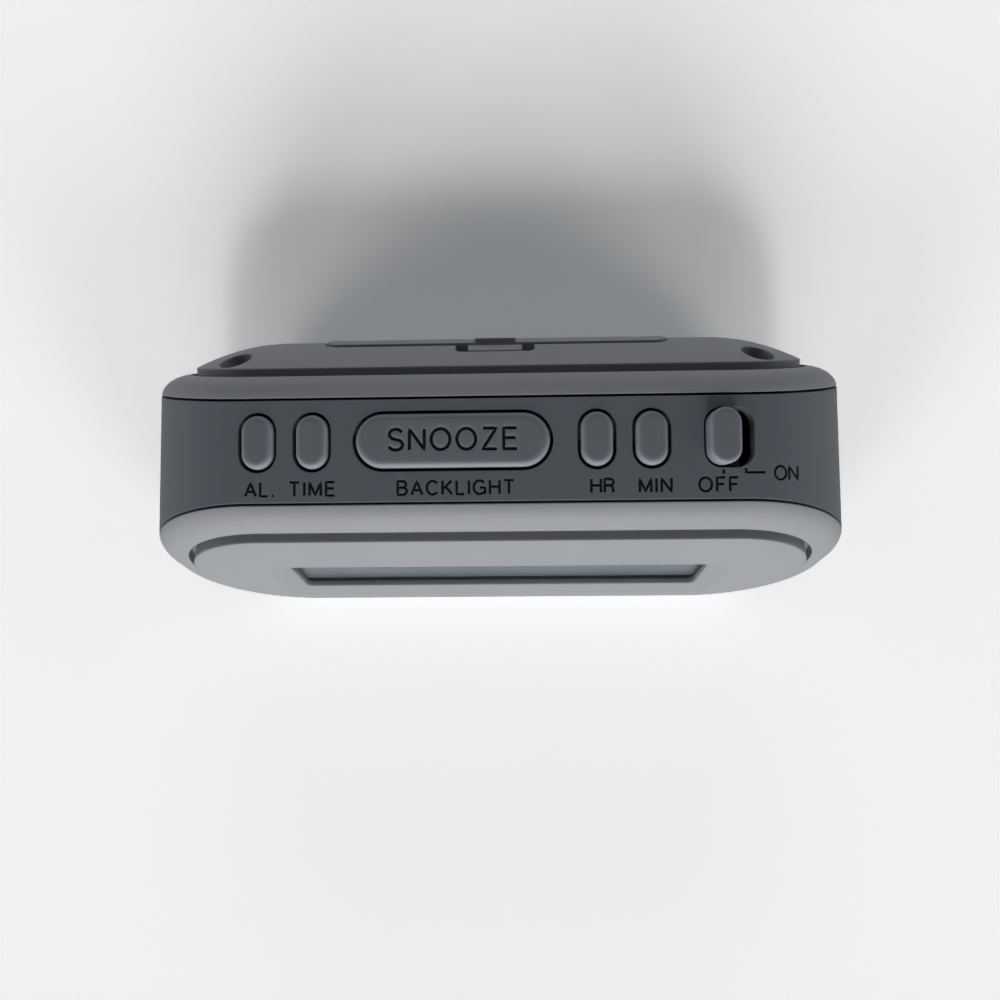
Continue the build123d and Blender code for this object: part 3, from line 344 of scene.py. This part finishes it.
def table_white():
    # the camera sees the table brighter than it lights the object, and its shadow stays
    material = bpy.data.materials.new("table_white")
    material.use_nodes = True
    tree = material.node_tree
    tree.nodes.clear()
    own = add_node(tree, "BsdfDiffuse", {"Color": rgb(240, 239, 237)})
    seen = add_node(tree, "BsdfDiffuse", {"Color": (FLOOR_SEEN, FLOOR_SEEN, FLOOR_SEEN * 0.985, 1)})
    pick = add_node(tree, "MixShader")
    tree.links.new(add_node(tree, "LightPath").outputs["Is Camera Ray"], pick.inputs[0])
    tree.links.new(own.outputs[0], pick.inputs[1])
    tree.links.new(seen.outputs[0], pick.inputs[2])
    tree.links.new(pick.outputs[0], add_node(tree, "OutputMaterial").inputs["Surface"])
    return material


floor_mesh = bpy.data.meshes.new("floor")
corners = [(-FLOOR_HALF, -FLOOR_HALF, 0), (FLOOR_HALF, -FLOOR_HALF, 0),
           (FLOOR_HALF, FLOOR_HALF, 0), (-FLOOR_HALF, FLOOR_HALF, 0)]
floor_mesh.from_pydata(corners, [], [(0, 1, 2, 3)])
floor_mesh.materials.append(table_white())
floor = add_object("floor", floor_mesh)

# ---------------------------------------------------------------- lamps
# name, strength, elevation, azimuth (0 from the front, positive from the right) and spread, in degrees
LAMPS = [("high_light", 0.42, 39, 0, 9), ("low_light", 1.6, 17, 0, 36), ("left_light", 0.55, 24, -42, 24),
         ("right_light", 0.55, 24, 42, 24), ("wall_light", 0.5, 12, 180, 40)]


def add_lamp(name, strength, elevation, azimuth, spread):
    data = bpy.data.lights.new(name, "SUN")
    data.energy = strength
    data.angle = math.radians(spread)
    up = math.radians(elevation)
    side = math.radians(azimuth)
    toward = Vector((-math.cos(up) * math.sin(side), math.cos(up) * math.cos(side), -math.sin(up)))
    add_object(name, data).rotation_euler = toward.to_track_quat("-Z", "Y").to_euler()


for lamp in LAMPS:
    add_lamp(*lamp)

# ---------------------------------------------------------------- room
ROOM_LOW, ROOM_HIGH = 0.56, 0.0         # at the horizon, and from the height ROOM_TOP up
ROOM_TOP = 0.7
ROOM_MIDDLE, ROOM_SIDES = 0.4, 2.3      # straight ahead, and at the two sides
ROOM_FRONT, ROOM_BACK = 0.6, 1.0
ROOM_COLOUR = (0.88, 0.93, 1.0, 1)
BACKDROP_COLOUR = rgb(232, 233, 234)


def add_room():
    # soft light from the walls, strongest at the sides and none from above; the camera sees a plain backdrop
    world = bpy.data.worlds.new("room")
    scene.world = world
    world.use_nodes = True
    tree = world.node_tree
    toward = add_node(tree, "SeparateXYZ")
    tree.links.new(add_node(tree, "TexCoord").outputs["Generated"], toward.inputs[0])
    rise = map_range(tree, toward.outputs["Z"], 0.0, ROOM_TOP, ROOM_LOW, ROOM_HIGH)
    aside = calculate(tree, "ABSOLUTE", toward.outputs["X"])
    aside = map_range(tree, aside, 0.0, 1.0, ROOM_MIDDLE, ROOM_SIDES)
    depth = map_range(tree, toward.outputs["Y"], -1.0, 1.0, ROOM_FRONT, ROOM_BACK)
    level = calculate(tree, "MULTIPLY", calculate(tree, "MULTIPLY", rise, aside), depth)
    walls = tree.nodes["Background"]
    walls.inputs["Color"].default_value = ROOM_COLOUR
    tree.links.new(level, walls.inputs["Strength"])
    backdrop = add_node(tree, "Background", {"Color": BACKDROP_COLOUR})
    ray = add_node(tree, "LightPath")
    seen = calculate(tree, "MAXIMUM", ray.outputs["Is Camera Ray"], ray.outputs["Is Transmission Ray"])
    choose = add_node(tree, "MixShader")
    tree.links.new(seen, choose.inputs[0])
    tree.links.new(walls.outputs[0], choose.inputs[1])
    tree.links.new(backdrop.outputs[0], choose.inputs[2])
    tree.links.new(choose.outputs[0], tree.nodes["World Output"].inputs["Surface"])


add_room()

# ---------------------------------------------------------------- camera, almost straight above
CAMERA_SPOT = Vector((2.745, BAND_Y - 9.6915, HEIGHT + 87.6703))        # mm
CAMERA_TILT, CAMERA_SWAY, CAMERA_ROLL = 0.03948, 0.02334, -0.00948      # radians
SENSOR = 36.0
FOCAL_RATIO = 0.7196        # focal length over the picture's width

camera_data = bpy.data.cameras.new("camera")
camera_data.sensor_width = SENSOR
camera_data.lens = SENSOR * FOCAL_RATIO
camera_data.clip_start = 2 * MM
camera = add_object("camera", camera_data)
turn = (Matrix.Rotation(CAMERA_SWAY, 4, "Y") @ Matrix.Rotation(CAMERA_TILT, 4, "X")
        @ Matrix.Rotation(CAMERA_ROLL, 4, "Z"))
camera.matrix_world = Matrix.Translation(CAMERA_SPOT * MM) @ turn
bpy.context.scene.camera = camera
bpy.context.scene.view_settings.view_transform = "Standard"
